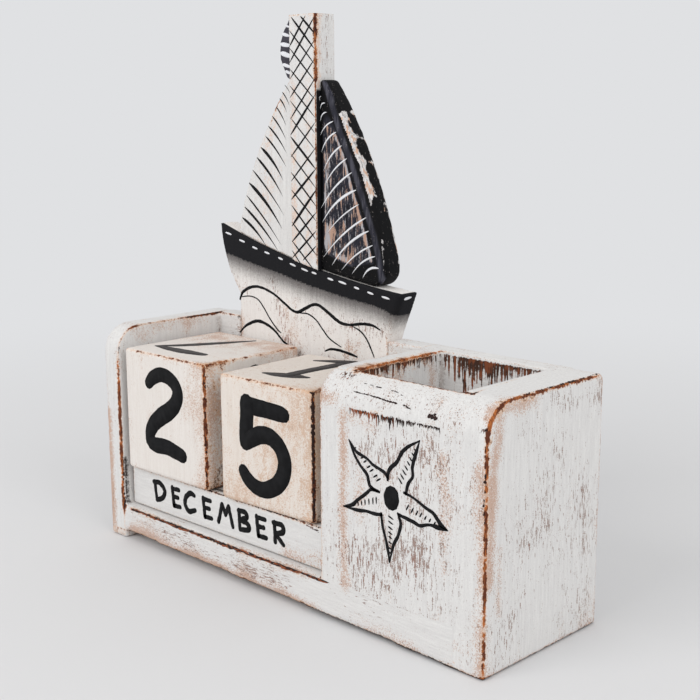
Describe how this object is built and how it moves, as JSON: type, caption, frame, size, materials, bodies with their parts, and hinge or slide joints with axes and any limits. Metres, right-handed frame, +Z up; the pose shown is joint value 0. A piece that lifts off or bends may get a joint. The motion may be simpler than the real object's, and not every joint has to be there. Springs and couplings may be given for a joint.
{
  "type": "desk calendar with pen well",
  "caption": "White-washed wooden desk calendar: a bay for date cubes over month bars, an open pen well beside it, and a sailing boat standing at the back.",
  "frame": {"origin": "on the table, in the middle of the object's length and depth", "axes": "+Z up, the front with the cubes' digits towards -Y, the pen well at the +X end"},
  "size_m": [0.19, 0.06, 0.201],
  "materials": {
    "whitewashed_board": "matt white wash over brown-stained wood, rubbed through at the edges and scratched along the grain",
    "hull_paint": "white wash below, black band along the gunwale fading into it",
    "mast_paint": "thin white wash, bare wood showing at the edges, fine black crossed lines in front",
    "white_sail_paint": "thin white wash with slanting black brush strokes",
    "black_sail_paint": "black paint rubbed through to white and bare wood, white brush strokes",
    "pennant_paint": "grey-black paint with white stripes",
    "left_cube_wash": "warm white wash, brown worn edges, painted black digits",
    "right_cube_wash": "thin pinkish white wash with brown specks, painted black digits",
    "bar_wash": "smooth white wash with brown lower edge, painted black month name",
    "steel_pin": "plain steel panel pin, dulled",
    "dowel_wood": "bare light wood"
  },
  "bodies": {
    "calendar_box": {"left_end_board": "whitewashed_board", "right_end_board": "whitewashed_board", "base_board": "whitewashed_board", "back_board": "whitewashed_board", "pen_divider": "whitewashed_board", "pen_front_board": "whitewashed_board", "boat_hull": "hull_paint", "boat_mast": "mast_paint", "boat_left_sail": "white_sail_paint", "boat_right_sail": "black_sail_paint", "boat_pennant": "pennant_paint", "left_end_pins": "steel_pin", "right_end_pins": "steel_pin", "back_board_pins": "steel_pin", "base_pins": "steel_pin", "divider_pins": "steel_pin", "mast_dowel": "dowel_wood", "wave_base_dowels": "dowel_wood"},
    "left_cube": {"left_date_cube": "left_cube_wash"},
    "right_cube": {"right_date_cube": "right_cube_wash"},
    "back_bar": {"back_month_bar": "bar_wash"},
    "middle_bar": {"middle_month_bar": "bar_wash"},
    "front_bar": {"front_month_bar": "bar_wash"}
  },
  "joints": [
    {"name": "left_cube_lift", "type": "slide", "parent": "calendar_box", "child": "left_cube", "axis": [0, 0, 1], "range_m": [0, 0.06]},
    {"name": "right_cube_lift", "type": "slide", "parent": "calendar_box", "child": "right_cube", "axis": [0, 0, 1], "range_m": [0, 0.06]},
    {"name": "back_bar_draw", "type": "slide", "parent": "calendar_box", "child": "back_bar", "axis": [0, -1, 0], "range_m": [0, 0.025]},
    {"name": "middle_bar_draw", "type": "slide", "parent": "back_bar", "child": "middle_bar", "axis": [0, -1, 0], "range_m": [0, 0.025]},
    {"name": "front_bar_draw", "type": "slide", "parent": "middle_bar", "child": "front_bar", "axis": [0, -1, 0], "range_m": [0, 0.025]}
  ]
}
